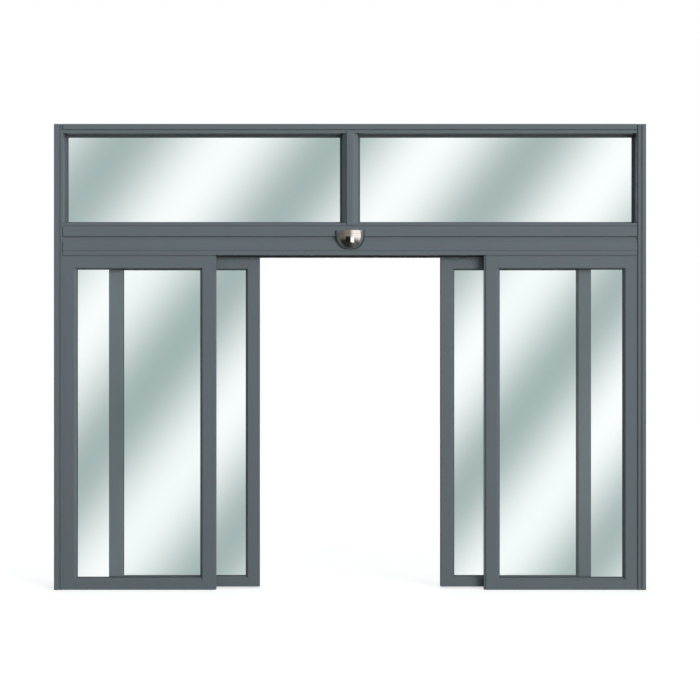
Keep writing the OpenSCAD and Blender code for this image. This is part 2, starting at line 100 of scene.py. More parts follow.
def add_node(tree, kind, inputs=None, **settings):
    """Adds a node with its settings. An input is a value, or the socket that feeds it."""
    node = tree.nodes.new(kind)
    for name, value in settings.items():
        setattr(node, name, value)
    for key, value in (inputs or {}).items():
        if isinstance(value, bpy.types.NodeSocket):
            tree.links.new(value, node.inputs[key])
        else:
            node.inputs[key].default_value = value
    return node


band_pitch = 1.298  # from one dark band to the next, measured along the door's width
band_start = -1.040  # the first dark band, from the middle of the door
band_lean = 0.769  # sideways run of a band for each metre it climbs
band_growth = 0.0231  # each band is this much wider than the one before it

world = bpy.data.worlds.new("studio")
world.use_nodes = True
scene.world = world
tree = world.node_tree
tree.nodes.clear()


def math_node(kind, *values):
    """The result of one Math node in the tree that is being built."""
    node = add_node(tree, "ShaderNodeMath", dict(enumerate(values)), operation=kind)
    return node.outputs[0]


def between(value, start, end):
    """Rises smoothly from 0 to 1 as value goes from start to end."""
    node = add_node(
        tree, "ShaderNodeMapRange", {"Value": value, "From Min": start, "From Max": end},
        interpolation_type="SMOOTHSTEP",
    )
    return node.outputs["Result"]


ray = add_node(tree, "ShaderNodeLightPath")
view_way = add_node(tree, "ShaderNodeTexCoord").outputs["Generated"]
way = add_node(tree, "ShaderNodeSeparateXYZ", {0: view_way})
depth = math_node("MAXIMUM", math_node("ABSOLUTE", way.outputs["Y"]), 0.35)
across = math_node("DIVIDE", way.outputs["X"], depth)
up = math_node("DIVIDE", way.outputs["Z"], depth)
along = math_node(
    "SUBTRACT",
    math_node("MULTIPLY", across, eye_distance),
    math_node("MULTIPLY", up, eye_distance * band_lean),
)
along = math_node("SUBTRACT", along, eye_height * band_lean + band_start)
turns = math_node("DIVIDE", along, band_pitch)
near_turns = math_node("MAXIMUM", math_node("MINIMUM", turns, 3.0), -3.0)
growth = math_node("MULTIPLY", math_node("MULTIPLY", near_turns, near_turns), band_growth)
turns = math_node("ADD", turns, growth)
wave = math_node("COSINE", math_node("MULTIPLY", turns, 2 * math.pi))
light_share = math_node("MULTIPLY_ADD", wave, -0.5, 0.5)
bands = add_node(tree, "ShaderNodeMix", {0: light_share}, data_type="RGBA")
bands.inputs[6].default_value = linear("#A5B5B5")
bands.inputs[7].default_value = linear("#FAFCFD")

right_share = between(way.outputs["X"], -0.10, 0.50)
left_share = between(way.outputs["X"], -0.45, -0.85)
ground_share = between(way.outputs["Z"], -0.10, -0.60)
room = math_node("MULTIPLY_ADD", right_share, 0.95, 0.33)
room = math_node("MULTIPLY", room, math_node("MULTIPLY_ADD", left_share, -0.40, 1.0))
room = math_node("MULTIPLY", room, math_node("MULTIPLY_ADD", ground_share, -0.88, 1.0))
window_share = math_node(
    "MULTIPLY",
    math_node(
        "MULTIPLY",
        between(way.outputs["X"], 0.07, 0.11), between(way.outputs["X"], 0.52, 0.46),
    ),
    math_node(
        "MULTIPLY",
        between(way.outputs["Z"], -0.20, -0.25), between(way.outputs["Z"], -0.76, -0.70),
    ),
)
room = math_node("MULTIPLY_ADD", window_share, 1.6, room)
tint = add_node(tree, "ShaderNodeMix", {0: right_share}, data_type="RGBA")
tint.inputs[6].default_value = linear("#EFE9DF")
tint.inputs[7].default_value = linear("#FFFFFF")

plain = add_node(tree, "ShaderNodeBackground", {"Color": linear("#F7FAFF"), "Strength": 0.56})
white = add_node(tree, "ShaderNodeBackground", {"Color": (1, 1, 1, 1), "Strength": 1.0})
seen = add_node(
    tree, "ShaderNodeBackground", {"Color": bands.outputs[2], "Strength": 1.05}
)
mirrored = add_node(
    tree, "ShaderNodeBackground", {"Color": tint.outputs[2], "Strength": room}
)
chosen = plain.outputs[0]
for share, light in (
    (ray.outputs["Is Camera Ray"], white),
    (ray.outputs["Is Glossy Ray"], mirrored),
    (ray.outputs["Is Transmission Ray"], seen),
):
    chosen = add_node(tree, "ShaderNodeMixShader", {0: share, 1: chosen, 2: light.outputs[0]})
    chosen = chosen.outputs[0]
add_node(tree, "ShaderNodeOutputWorld", {"Surface": chosen})

# The floor is white screed. It keeps the door's soft shadow, and glass looks past it.
floor_half = 20.0
floor_mesh = bpy.data.meshes.new("floor")
floor_mesh.from_pydata(
    [
        (door_middle + x * floor_half, y * floor_half, door_low.z - 0.0005)
        for x, y in ((-1, -1), (1, -1), (1, 1), (-1, 1))
    ],
    [], [(0, 1, 2, 3)],
)
floor = bpy.data.objects.new("floor", floor_mesh)
scene.collection.objects.link(floor)
floor.visible_transmission = False
floor.visible_glossy = False
floor_finish = bpy.data.materials.new("white_screed")
floor_finish.use_nodes = True
tree = floor_finish.node_tree
tree.nodes.clear()
matt = add_node(tree, "ShaderNodeBsdfDiffuse", {"Color": linear("#D8D8D6")})
dim = add_node(tree, "ShaderNodeBsdfDiffuse", {"Color": linear("#8C8E8F")})
glow = add_node(tree, "ShaderNodeEmission", {"Color": (1, 1, 1, 1), "Strength": 0.62})
both = add_node(tree, "ShaderNodeAddShader", {0: matt.outputs[0], 1: glow.outputs[0]})
ray = add_node(tree, "ShaderNodeLightPath")
pick = add_node(
    tree, "ShaderNodeMixShader",
    {0: ray.outputs["Is Camera Ray"], 1: dim.outputs[0], 2: both.outputs[0]},
)
add_node(tree, "ShaderNodeOutputMaterial", {"Surface": pick.outputs[0]})
floor_mesh.materials.append(floor_finish)

# A broad soft key light from high on the right, in front of the door.
key_data = bpy.data.lights.new("key", "SUN")
key_data.energy = 2.8
key_data.angle = math.radians(34)
key = bpy.data.objects.new("key", key_data)
key.rotation_euler = Vector((0.62, -0.78, 0.10)).to_track_quat("Z", "Y").to_euler()
key.visible_transmission = False
key.visible_glossy = False
scene.collection.objects.link(key)

# ---- Powder-coated aluminium bars -------------------------------------------------------
# The jambs, head, transom, mullion, glazing beads, header covers and sash bars are 6060
# aluminium extrusions, sawn, eased at the saw cuts and coated with slate-grey polyester
# powder. The satin coat has a fine orange-peel grain and fills the sharp edges slightly.

coat = bpy.data.materials.new("powder_coated_aluminium")
coat.use_nodes = True
tree = coat.node_tree
tree.nodes.clear()
place = add_node(tree, "ShaderNodeTexCoord").outputs["Object"]
# clouds of slightly thicker coat, about 250 mm across
clouds = add_node(tree, "ShaderNodeTexNoise", {"Vector": place, "Scale": 4.0, "Detail": 2.0})
tone = add_node(
    tree, "ShaderNodeMapRange", {"Value": clouds.outputs["Fac"], "To Min": 0.96, "To Max": 1.04}
)
coat_colour = add_node(
    tree, "ShaderNodeVectorMath",
    {0: linear("#5F686C")[:3], "Scale": tone.outputs["Result"]}, operation="SCALE",
)
# the grain is about 0.5 mm on the real coat, and is drawn at 2 mm so that it shows
grain = add_node(tree, "ShaderNodeTexNoise", {"Vector": place, "Scale": 500.0, "Detail": 1.0})
peel = add_node(
    tree, "ShaderNodeBump", {"Height": grain.outputs["Fac"], "Strength": 0.12, "Distance": 0.0004}
)
satin = add_node(
    tree, "ShaderNodeMapRange", {"Value": grain.outputs["Fac"], "To Min": 0.38, "To Max": 0.48}
)
surface = add_node(
    tree, "ShaderNodeBsdfPrincipled",
    {
        "Base Color": coat_colour.outputs[0], "Roughness": satin.outputs["Result"],
        "Normal": peel.outputs[0], "IOR": 1.5, "Specular IOR Level": 0.4,
    },
)
add_node(tree, "ShaderNodeOutputMaterial", {"Surface": surface.outputs[0]})

bodies = frame["record"]["behaviour"]["bodies"]
body_of_node = {node: body for body, nodes in bodies.items() for node in nodes}


def eased_bar(node, ease):
    """The bar of a CAD node with its sharp edges eased, as the coat leaves them."""
    shape = bmesh.new()
    shape.from_mesh(frame["nodes"][node].data)
    bmesh.ops.remove_doubles(shape, verts=shape.verts, dist=1e-6)
    bmesh.ops.dissolve_limit(
        shape, angle_limit=math.radians(0.5), verts=shape.verts, edges=shape.edges
    )
    sharp = [
        e for e in shape.edges
        if len(e.link_faces) == 2 and e.calc_face_angle(0) > math.radians(25)
    ]
    bmesh.ops.bevel(
        shape, geom=sharp, offset=ease, offset_type="OFFSET", segments=2, profile=0.5,
        affect="EDGES", clamp_overlap=False,
    )
    mesh = bpy.data.meshes.new(node + "_bar")
    shape.to_mesh(mesh)
    shape.free()
    mesh.shade_smooth()
    mesh.set_sharp_from_angle(angle=math.radians(50))
    bar = bpy.data.objects.new(node + "_bar", mesh)
    scene.collection.objects.link(bar)
    even = bar.modifiers.new("even_faces", "WEIGHTED_NORMAL")
    even.keep_sharp = True
    return bar


edge_radius = 0.0008
coated_nodes = [
    s["node"] for s in frame["record"]["subparts"] if s["material_slot"] == "frame_powder_coat"
]
for node in coated_nodes:
    bar = eased_bar(node, edge_radius)
    bar.data.materials.append(coat)
    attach(bar, body_of_node[node])
    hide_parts(node)

# ---- Glass ------------------------------------------------------------------------------
# Each pane is 10 mm toughened soda-lime float glass with a faint green-blue body tint. The
# rollers of the furnace leave a very slight wave in its faces, and it lets daylight through.

pane_finish = bpy.data.materials.new("toughened_float_glass")
pane_finish.use_nodes = True
tree = pane_finish.node_tree
tree.nodes.clear()
place = add_node(tree, "ShaderNodeTexCoord").outputs["Object"]
# the wave repeats about every 300 mm, and lies along the pane's width
stretch = add_node(tree, "ShaderNodeMapping", {"Vector": place, "Scale": (0.6, 1.0, 3.3)})
rollers = add_node(
    tree, "ShaderNodeTexNoise", {"Vector": stretch.outputs[0], "Scale": 1.0, "Detail": 1.0}
)
ripple = add_node(
    tree, "ShaderNodeBump", {"Height": rollers.outputs["Fac"], "Strength": 0.2, "Distance": 0.001}
)
clear = add_node(
    tree, "ShaderNodeBsdfPrincipled",
    {
        "Base Color": linear("#FAFDFC"), "Roughness": 0.0, "IOR": 1.5,
        "Transmission Weight": 1.0, "Normal": ripple.outputs[0],
    },
)
open_glass = add_node(tree, "ShaderNodeBsdfTransparent", {"Color": linear("#FAFDFC")})
ray = add_node(tree, "ShaderNodeLightPath")
lets_light_in = add_node(
    tree, "ShaderNodeMath",
    {0: ray.outputs["Is Shadow Ray"], 1: ray.outputs["Is Diffuse Ray"]}, operation="MAXIMUM",
)
surface = add_node(
    tree, "ShaderNodeMixShader",
    {0: lets_light_in.outputs[0], 1: clear.outputs[0], 2: open_glass.outputs[0]},
)
add_node(tree, "ShaderNodeOutputMaterial", {"Surface": surface.outputs[0]})

panes = [
    "fanlight_glass_left", "fanlight_glass_right", "left_screen_glass", "right_screen_glass",
    "left_leaf_glass", "right_leaf_glass",
]
for node in panes:
    pane = frame["nodes"][node]
    pane.data.materials.clear()
    pane.data.materials.append(pane_finish)

# ---- Glazing gaskets --------------------------------------------------------------------
# Black EPDM wedge gaskets are pressed between each pane and the beads on both of its sides.
# They run right round the daylight opening and stand a little proud of the bead's nose.

epdm = bpy.data.materials.new("extruded_epdm_rubber")
epdm.use_nodes = True
tree = epdm.node_tree
tree.nodes.clear()
place = add_node(tree, "ShaderNodeTexCoord").outputs["Object"]
bloom = add_node(tree, "ShaderNodeTexNoise", {"Vector": place, "Scale": 40.0, "Detail": 3.0})
dull = add_node(
    tree, "ShaderNodeMapRange", {"Value": bloom.outputs["Fac"], "To Min": 0.55, "To Max": 0.75}
)
black = add_node(
    tree, "ShaderNodeMix",
    {"Factor": bloom.outputs["Fac"]}, data_type="RGBA",
)
black.inputs[6].default_value = linear("#26292B")
black.inputs[7].default_value = linear("#34373A")
surface = add_node(
    tree, "ShaderNodeBsdfPrincipled",
    {"Base Color": black.outputs[2], "Roughness": dull.outputs["Result"]},
)
add_node(tree, "ShaderNodeOutputMaterial", {"Surface": surface.outputs[0]})


def new_tree(name, sizes):
    """An empty Geometry Nodes tree with named inputs, and its input and output nodes."""
    made = bpy.data.node_groups.new(name, "GeometryNodeTree")
    for label, kind in sizes.items():
        made.interface.new_socket(label, in_out="INPUT", socket_type=kind)
    made.interface.new_socket("Geometry", in_out="OUTPUT", socket_type="NodeSocketGeometry")
    return made, add_node(made, "NodeGroupInput").outputs


def close_tree(made, geometry, material):
    """Ends a tree: real geometry in place of instances, with its material."""
    real = add_node(made, "GeometryNodeRealizeInstances", {0: geometry})
    coated = add_node(
        made, "GeometryNodeSetMaterial", {"Geometry": real.outputs[0], "Material": material}
    )
    add_node(made, "NodeGroupOutput", {0: coated.outputs[0]})


def grown(name, made, sizes):
    """A plain mesh piece grown by a tree from the sizes given for its named inputs."""
    piece = bpy.data.objects.new(name, bpy.data.meshes.new(name))
    scene.collection.objects.link(piece)
    growth = piece.modifiers.new("growth", "NODES")
    growth.node_group = made
    for item in made.interface.items_tree:
        if item.in_out == "INPUT":
            growth[item.identifier] = sizes[item.name]
    result = piece.evaluated_get(bpy.context.evaluated_depsgraph_get())
    mesh = bpy.data.meshes.new_from_object(result)
    piece.modifiers.remove(growth)
    piece.data = mesh
    mesh.name = name
    return piece


FLOAT, VECTOR, COUNT = "NodeSocketFloat", "NodeSocketVector", "NodeSocketInt"
gasket_tree, sizes = new_tree(
    "gasket_round_a_pane",
    {
        "Width": FLOAT, "Height": FLOAT, "Middle": VECTOR, "Glass thickness": FLOAT,
        "Gasket width": FLOAT, "Gasket depth": FLOAT,
    },
)
outline = add_node(
    gasket_tree, "GeometryNodeCurvePrimitiveQuadrilateral",
    {"Width": sizes["Width"], "Height": sizes["Height"]},
)
corners = add_node(
    gasket_tree, "GeometryNodeFilletCurve",
    {"Curve": outline.outputs[0], "Count": 3, "Radius": sizes["Gasket width"]}, mode="POLY",
)
section = add_node(
    gasket_tree, "GeometryNodeCurvePrimitiveQuadrilateral",
    {"Width": sizes["Gasket width"], "Height": sizes["Gasket depth"]},
)
strip = add_node(
    gasket_tree, "GeometryNodeCurveToMesh",
    {"Curve": corners.outputs[0], "Profile Curve": section.outputs[0]},
)
upright = add_node(
    gasket_tree, "GeometryNodeTransform",
    {"Geometry": strip.outputs[0], "Rotation": (math.radians(90), 0, 0)},
)
reach = add_node(
    gasket_tree, "ShaderNodeMath",
    {0: sizes["Glass thickness"], 1: sizes["Gasket depth"]}, operation="ADD",
)
reach = add_node(gasket_tree, "ShaderNodeMath", {0: reach.outputs[0], 1: 0.5}, operation="MULTIPLY")
pair = add_node(gasket_tree, "GeometryNodeJoinGeometry")
for side in (-1.0, 1.0):
    shift = add_node(
        gasket_tree, "ShaderNodeMath", {0: reach.outputs[0], 1: side}, operation="MULTIPLY"
    )
    step = add_node(gasket_tree, "ShaderNodeCombineXYZ", {"Y": shift.outputs[0]})
    spot = add_node(
        gasket_tree, "ShaderNodeVectorMath", {0: sizes["Middle"], 1: step.outputs[0]},
        operation="ADD",
    )
    moved = add_node(
        gasket_tree, "GeometryNodeTransform",
        {"Geometry": upright.outputs[0], "Translation": spot.outputs[0]},
    )
    gasket_tree.links.new(moved.outputs[0], pair.inputs[0])
close_tree(gasket_tree, pair.outputs[0], epdm)

# how far each pane's edge is hidden in its bars: left, right, bottom and top
sash_bite = (0.010, 0.010, 0.010, 0.010)
fan_bite = (0.008, 0.008, 0.008, 0.008)
gasket_width = 0.0025
for node in panes:
    low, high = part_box(node)
    left, right, bottom, top = fan_bite if node.startswith("fanlight") else sash_bite
    low_edge = Vector((low.x + left, 0, low.z + bottom))
    high_edge = Vector((high.x - right, 0, high.z - top))
    middle = (low_edge + high_edge) / 2
    middle.y = (low.y + high.y) / 2
    seal = grown(
        node + "_gaskets", gasket_tree,
        {
            "Width": high_edge.x - low_edge.x - gasket_width,
            "Height": high_edge.z - low_edge.z - gasket_width,
            "Middle": middle, "Glass thickness": high.y - low.y + 0.0002,
            "Gasket width": gasket_width, "Gasket depth": 0.0042,
        },
    )
    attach(seal, body_of_node[node])

# ---- Track ------------------------------------------------------------------------------
# The track is a mill-finish aluminium extrusion, screwed up under the transom. The press
# leaves fine straight die lines along it.

mill = bpy.data.materials.new("mill_finish_aluminium")
mill.use_nodes = True
tree = mill.node_tree
tree.nodes.clear()
place = add_node(tree, "ShaderNodeTexCoord").outputs["Object"]
# die lines 1 to 2 mm apart that run along the track
drawn = add_node(tree, "ShaderNodeMapping", {"Vector": place, "Scale": (1.0, 600.0, 600.0)})
lines = add_node(
    tree, "ShaderNodeTexNoise", {"Vector": drawn.outputs[0], "Scale": 1.0, "Detail": 2.0}
)
bright = add_node(tree, "ShaderNodeMix", {"Factor": lines.outputs["Fac"]}, data_type="RGBA")
bright.inputs[6].default_value = linear("#B4B7B9")
bright.inputs[7].default_value = linear("#D2D4D5")
worn = add_node(
    tree, "ShaderNodeMapRange", {"Value": lines.outputs["Fac"], "To Min": 0.30, "To Max": 0.48}
)
surface = add_node(
    tree, "ShaderNodeBsdfPrincipled",
    {"Base Color": bright.outputs[2], "Metallic": 1.0, "Roughness": worn.outputs["Result"]},
)
add_node(tree, "ShaderNodeOutputMaterial", {"Surface": surface.outputs[0]})
track = frame["nodes"]["header_track"]
track.data.materials.clear()
track.data.materials.append(mill)

# ---- Motion sensors ---------------------------------------------------------------------
# A half bowl of chromed ABS over a radar module, one on each face. It has a rolled top
# band, a moulded groove under it, a small dark window and a black foam gasket at its back.

chrome = bpy.data.materials.new("chromed_abs")
chrome.use_nodes = True
tree = chrome.node_tree
tree.nodes.clear()
place = add_node(tree, "ShaderNodeTexCoord").outputs["Object"]
# faint moulding flow marks, 10 to 20 mm across
flow = add_node(tree, "ShaderNodeTexNoise", {"Vector": place, "Scale": 70.0, "Detail": 2.0})
soft = add_node(
    tree, "ShaderNodeMapRange", {"Value": flow.outputs["Fac"], "To Min": 0.05, "To Max": 0.10}
)
waver = add_node(
    tree, "ShaderNodeBump", {"Height": flow.outputs["Fac"], "Strength": 0.25, "Distance": 0.001}
)
surface = add_node(
    tree, "ShaderNodeBsdfPrincipled",
    {
        "Base Color": linear("#D9D6D0"), "Metallic": 1.0, "Roughness": soft.outputs["Result"],
        "Normal": waver.outputs[0],
    },
)
add_node(tree, "ShaderNodeOutputMaterial", {"Surface": surface.outputs[0]})

window_dark = bpy.data.materials.new("smoked_polycarbonate")
window_dark.use_nodes = True
tree = window_dark.node_tree
tree.nodes.clear()
place = add_node(tree, "ShaderNodeTexCoord").outputs["Object"]
cast = add_node(tree, "ShaderNodeTexNoise", {"Vector": place, "Scale": 120.0})
smoke = add_node(tree, "ShaderNodeMix", {"Factor": cast.outputs["Fac"]}, data_type="RGBA")
smoke.inputs[6].default_value = linear("#111316")
smoke.inputs[7].default_value = linear("#1C1F23")
surface = add_node(
    tree, "ShaderNodeBsdfPrincipled", {"Base Color": smoke.outputs[2], "Roughness": 0.12}
)
add_node(tree, "ShaderNodeOutputMaterial", {"Surface": surface.outputs[0]})

bowl_steps = 18
arc_steps = 64
band_height = 0.026
band_groove = 0.002
bowl_floor_share = 0.34


def ring_of(radius, height, back, turn):
    """Points of one level of the bowl, between the two edges of its flat back."""
    reach = math.acos(min(1.0, back / radius)) if radius > back else 0.0
    return [
        (
            radius * math.sin(reach * (2 * i / arc_steps - 1)),
            turn * (radius * math.cos(reach * (2 * i / arc_steps - 1)) - back),
            height,
        )
        for i in range(arc_steps + 1)
    ]


def sensor_shell(node, turn):
    """The half bowl of the sensor on one face: turn is -1 outside and 1 inside."""
    low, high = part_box(node)
    radius = 0.100
    back = 0.035
    face = low.y if turn > 0 else high.y
    height = high.z - low.z
    bowl = height - band_height
    levels = []
    for i in range(bowl_steps + 1):
        lean = math.pi / 2 * i / bowl_steps
        share = bowl_floor_share + (1 - bowl_floor_share) * math.sin(lean)
        levels.append((radius * share, bowl * (1 - math.cos(lean))))
    levels += [
        (radius - 0.0006, bowl + 0.0002), (radius - band_groove, bowl + 0.0004),
        (radius - band_groove, bowl + band_groove), (radius - 0.0006, bowl + band_groove + 0.0003),
        (radius, bowl + band_groove + 0.001), (radius, height - 0.003),
        (radius - 0.0009, height - 0.0009), (radius - 0.003, height),
    ]
    levels = [(r, z) for r, z in levels if r > back + 1e-5]
    shape = bmesh.new()
    rings = []
    for r, z in levels:
        points = ring_of(r, low.z + z, back, turn)
        rings.append([shape.verts.new((door_middle + x, face + y, h)) for x, y, h in points])
    for lower, upper in zip(rings, rings[1:]):
        for i in range(arc_steps):
            shape.faces.new((lower[i], lower[i + 1], upper[i + 1], upper[i]))
    shape.faces.new(rings[-1])
    shape.faces.new(list(reversed(rings[0])))
    outer = [r[0] for r in rings] + [r[-1] for r in reversed(rings)]
    shape.faces.new(outer)
    bmesh.ops.recalc_face_normals(shape, faces=shape.faces)
    mesh = bpy.data.meshes.new(node + "_bowl")
    shape.to_mesh(mesh)
    shape.free()
    mesh.shade_smooth()
    mesh.set_sharp_from_angle(angle=math.radians(40))
    mesh.materials.append(chrome)
    shell = bpy.data.objects.new(node + "_bowl", mesh)
    scene.collection.objects.link(shell)
    return shell, face, low.z, bowl, radius, back


def sensor_window(node, turn, face, base, bowl, radius, back):
    """The small curved window, bent to the bowl and standing 0.6 mm proud of it."""
    shape = bmesh.new()
    grid = []
    rows, columns = 6, 6
    for j in range(rows + 1):
        lean = math.radians(58 + 22 * j / rows)
        share = bowl_floor_share + (1 - bowl_floor_share) * math.sin(lean)
        line = []
        for i in range(columns + 1):
            swing = math.radians(-17 + 18 * i / columns)
            corner = (i in (0, columns)) and (j in (0, rows))
            r = radius * share + (0.0002 if corner else 0.0006)
            line.append(
                shape.verts.new(
                    (
                        door_middle - turn * r * math.sin(swing),
                        face + turn * (r * math.cos(swing) - back),
                        base + bowl * (1 - math.cos(lean)),
                    )
                )
            )
        grid.append(line)
    for lower, upper in zip(grid, grid[1:]):
        for i in range(columns):
            shape.faces.new((lower[i], lower[i + 1], upper[i + 1], upper[i]))
    bmesh.ops.recalc_face_normals(shape, faces=shape.faces)
    bmesh.ops.solidify(shape, geom=shape.faces[:], thickness=0.0015)
    bmesh.ops.recalc_face_normals(shape, faces=shape.faces)
    mesh = bpy.data.meshes.new(node + "_window")
    shape.to_mesh(mesh)
    shape.free()
    mesh.materials.append(window_dark)
    window = bpy.data.objects.new(node + "_window", mesh)
    scene.collection.objects.link(window)
    return window


def sensor_gasket(node, turn, face, back):
    """The foam gasket behind the bowl, 3 mm larger than its outline all round."""
    low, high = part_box(node)
    grow = 0.003
    bowl = high.z - low.z - band_height
    outline = []
    for i in range(25):
        share = bowl_floor_share + (1 - bowl_floor_share) * math.sin(math.pi / 2 * i / 24)
        half_width = math.sqrt(max(0.0, (0.1 * share) ** 2 - back**2))
        if half_width:
            lean = math.pi / 2 * i / 24
            outline.append((half_width + grow, low.z + bowl * (1 - math.cos(lean)) - grow * 0.7))
    outline[-1] = (outline[-1][0], outline[-1][1] + grow * 0.7)
    outline.append((outline[-1][0], high.z + grow * 0.5))
    outline = [(x, z) for x, z in outline] + [(-x, z) for x, z in reversed(outline)]
    shape = bmesh.new()
    ends = [
        [shape.verts.new((door_middle + x, face + turn * y, z)) for x, z in outline]
        for y in (0.0, 0.003)
    ]
    for i in range(len(outline)):
        j = (i + 1) % len(outline)
        shape.faces.new((ends[0][i], ends[0][j], ends[1][j], ends[1][i]))
    shape.faces.new(ends[0])
    shape.faces.new(list(reversed(ends[1])))
    bmesh.ops.recalc_face_normals(shape, faces=shape.faces)
    mesh = bpy.data.meshes.new(node + "_gasket")
    shape.to_mesh(mesh)
    shape.free()
    mesh.materials.append(epdm)
    gasket = bpy.data.objects.new(node + "_gasket", mesh)
    scene.collection.objects.link(gasket)
    return gasket


for node, turn in (("sensor_front", -1), ("sensor_back", 1)):
    shell, face, base, bowl, radius, back = sensor_shell(node, turn)
    gasket = sensor_gasket(node, turn, face, back)
    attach(gasket, "frame")
    window = sensor_window(node, turn, face, base, bowl, radius, back)
    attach(shell, "frame")
    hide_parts(node)
    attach(window, "frame")

# ---- Brush seals ------------------------------------------------------------------------
# A pile weatherstrip on the back of each meeting stile: tufts of black polypropylene
# bristle, gripped in a coated aluminium carrier, that stop short of the moving leaf.

pile = bpy.data.materials.new("polypropylene_bristle")
pile.use_nodes = True
tree = pile.node_tree
tree.nodes.clear()
place = add_node(tree, "ShaderNodeTexCoord").outputs["Object"]
strands = add_node(tree, "ShaderNodeTexNoise", {"Vector": place, "Scale": 900.0, "Detail": 1.0})
shades = add_node(tree, "ShaderNodeMix", {"Factor": strands.outputs["Fac"]}, data_type="RGBA")
shades.inputs[6].default_value = linear("#232527")
shades.inputs[7].default_value = linear("#3B3E40")
surface = add_node(
    tree, "ShaderNodeBsdfPrincipled", {"Base Color": shades.outputs[2], "Roughness": 0.6}
)
add_node(tree, "ShaderNodeOutputMaterial", {"Surface": surface.outputs[0]})

bristle_tree, sizes = new_tree(
    "row_of_bristles",
    {
        "Count": COUNT, "Foot": VECTOR, "Step": VECTOR, "Aim": VECTOR, "Length": FLOAT,
        "Thickness": FLOAT,
    },
)
row = add_node(
    bristle_tree, "GeometryNodeMeshLine",
    {"Count": sizes["Count"], "Start Location": sizes["Foot"], "Offset": sizes["Step"]},
)
hair = add_node(
    bristle_tree, "GeometryNodeMeshCone",
    {"Vertices": 5, "Radius Top": 0.0012, "Radius Bottom": sizes["Thickness"],
     "Depth": sizes["Length"]},
)
lean = add_node(
    bristle_tree, "FunctionNodeRandomValue", {"Seed": 11}, data_type="FLOAT_VECTOR"
)
lean.inputs[0].default_value = (math.radians(-4), math.radians(-4), 0.0)
lean.inputs[1].default_value = (math.radians(4), math.radians(4), math.pi)
aimed = add_node(
    bristle_tree, "GeometryNodeInstanceOnPoints",
    {"Points": row.outputs[0], "Instance": hair.outputs[0], "Rotation": sizes["Aim"]},
)
tufts = add_node(
    bristle_tree, "GeometryNodeRotateInstances",
    {"Instances": aimed.outputs[0], "Rotation": lean.outputs[0], "Local Space": True},
)
close_tree(bristle_tree, tufts.outputs[0], pile)

for side in ("left", "right"):
    node = side + "_brush_seal"
    low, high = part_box(node)
    carrier_depth = (high.y - low.y) * 0.45
    pitch = 0.0032
    tuft_row = grown(
        node + "_bristles", bristle_tree,
        {
            "Count": int((high.z - low.z - 0.004) / pitch),
            "Foot": Vector(((low.x + high.x) / 2, high.y, low.z + 0.002)),
            "Step": Vector((0, 0, pitch)), "Aim": Vector((math.radians(90), 0, 0)),
            "Length": high.y - low.y - carrier_depth + 0.001, "Thickness": 0.0022,
        },
    )
    shape = bmesh.new()
    middle = (low.x + high.x) / 2
    half = (high.x - low.x) / 2
    # channel section, open towards the leaf
    section = [
        (-half, 0), (half, 0), (half, carrier_depth), (half * 0.5, carrier_depth),
        (half * 0.5, carrier_depth * 0.4), (-half * 0.5, carrier_depth * 0.4),
        (-half * 0.5, carrier_depth), (-half, carrier_depth),
    ]
    ends = [
        [shape.verts.new((middle + x, low.y + y, z)) for x, y in section]
        for z in (low.z, high.z)
    ]
    for i in range(len(section)):
        j = (i + 1) % len(section)
        shape.faces.new((ends[0][i], ends[0][j], ends[1][j], ends[1][i]))
    shape.faces.new(list(reversed(ends[0])))
    shape.faces.new(ends[1])
    bmesh.ops.recalc_face_normals(shape, faces=shape.faces)
    mesh = bpy.data.meshes.new(node + "_carrier")
    shape.to_mesh(mesh)
    shape.free()
    mesh.materials.append(coat)
    carrier = bpy.data.objects.new(node + "_carrier", mesh)
    scene.collection.objects.link(carrier)
    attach(tuft_row, "frame")
    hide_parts(node)
    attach(carrier, "frame")

# Two more rows hang from the header's underside, one on each side of the moving leaves.
# They close the gap above the leaves' top rails and stop clear of the rails themselves.
cover_low, cover_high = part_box("header_cover_front")
leaf_front, leaf_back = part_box("left_leaf_top_rail")
hang = 0.0105
header_pitch = 0.003
for name, line in (("outer", leaf_front.y - 0.008), ("inner", leaf_back.y + 0.008)):
    tuft_row = grown(
        f"header_{name}_bristles", bristle_tree,
        {
            "Count": int((cover_high.x - cover_low.x - 0.004) / header_pitch),
            "Foot": Vector((cover_low.x + 0.003, line, cover_low.z + 0.0005)),
            "Step": Vector((header_pitch, 0, 0)), "Aim": Vector((math.pi, 0, 0)),
            "Length": hang, "Thickness": 0.0026,
        },
    )
    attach(tuft_row, "frame")

# ---- Nose seals -------------------------------------------------------------------------
# A ribbed black EPDM strip slides into the leading edge of each leaf, and the two close
# against each other. Its face has three soft ribs that run its full height.

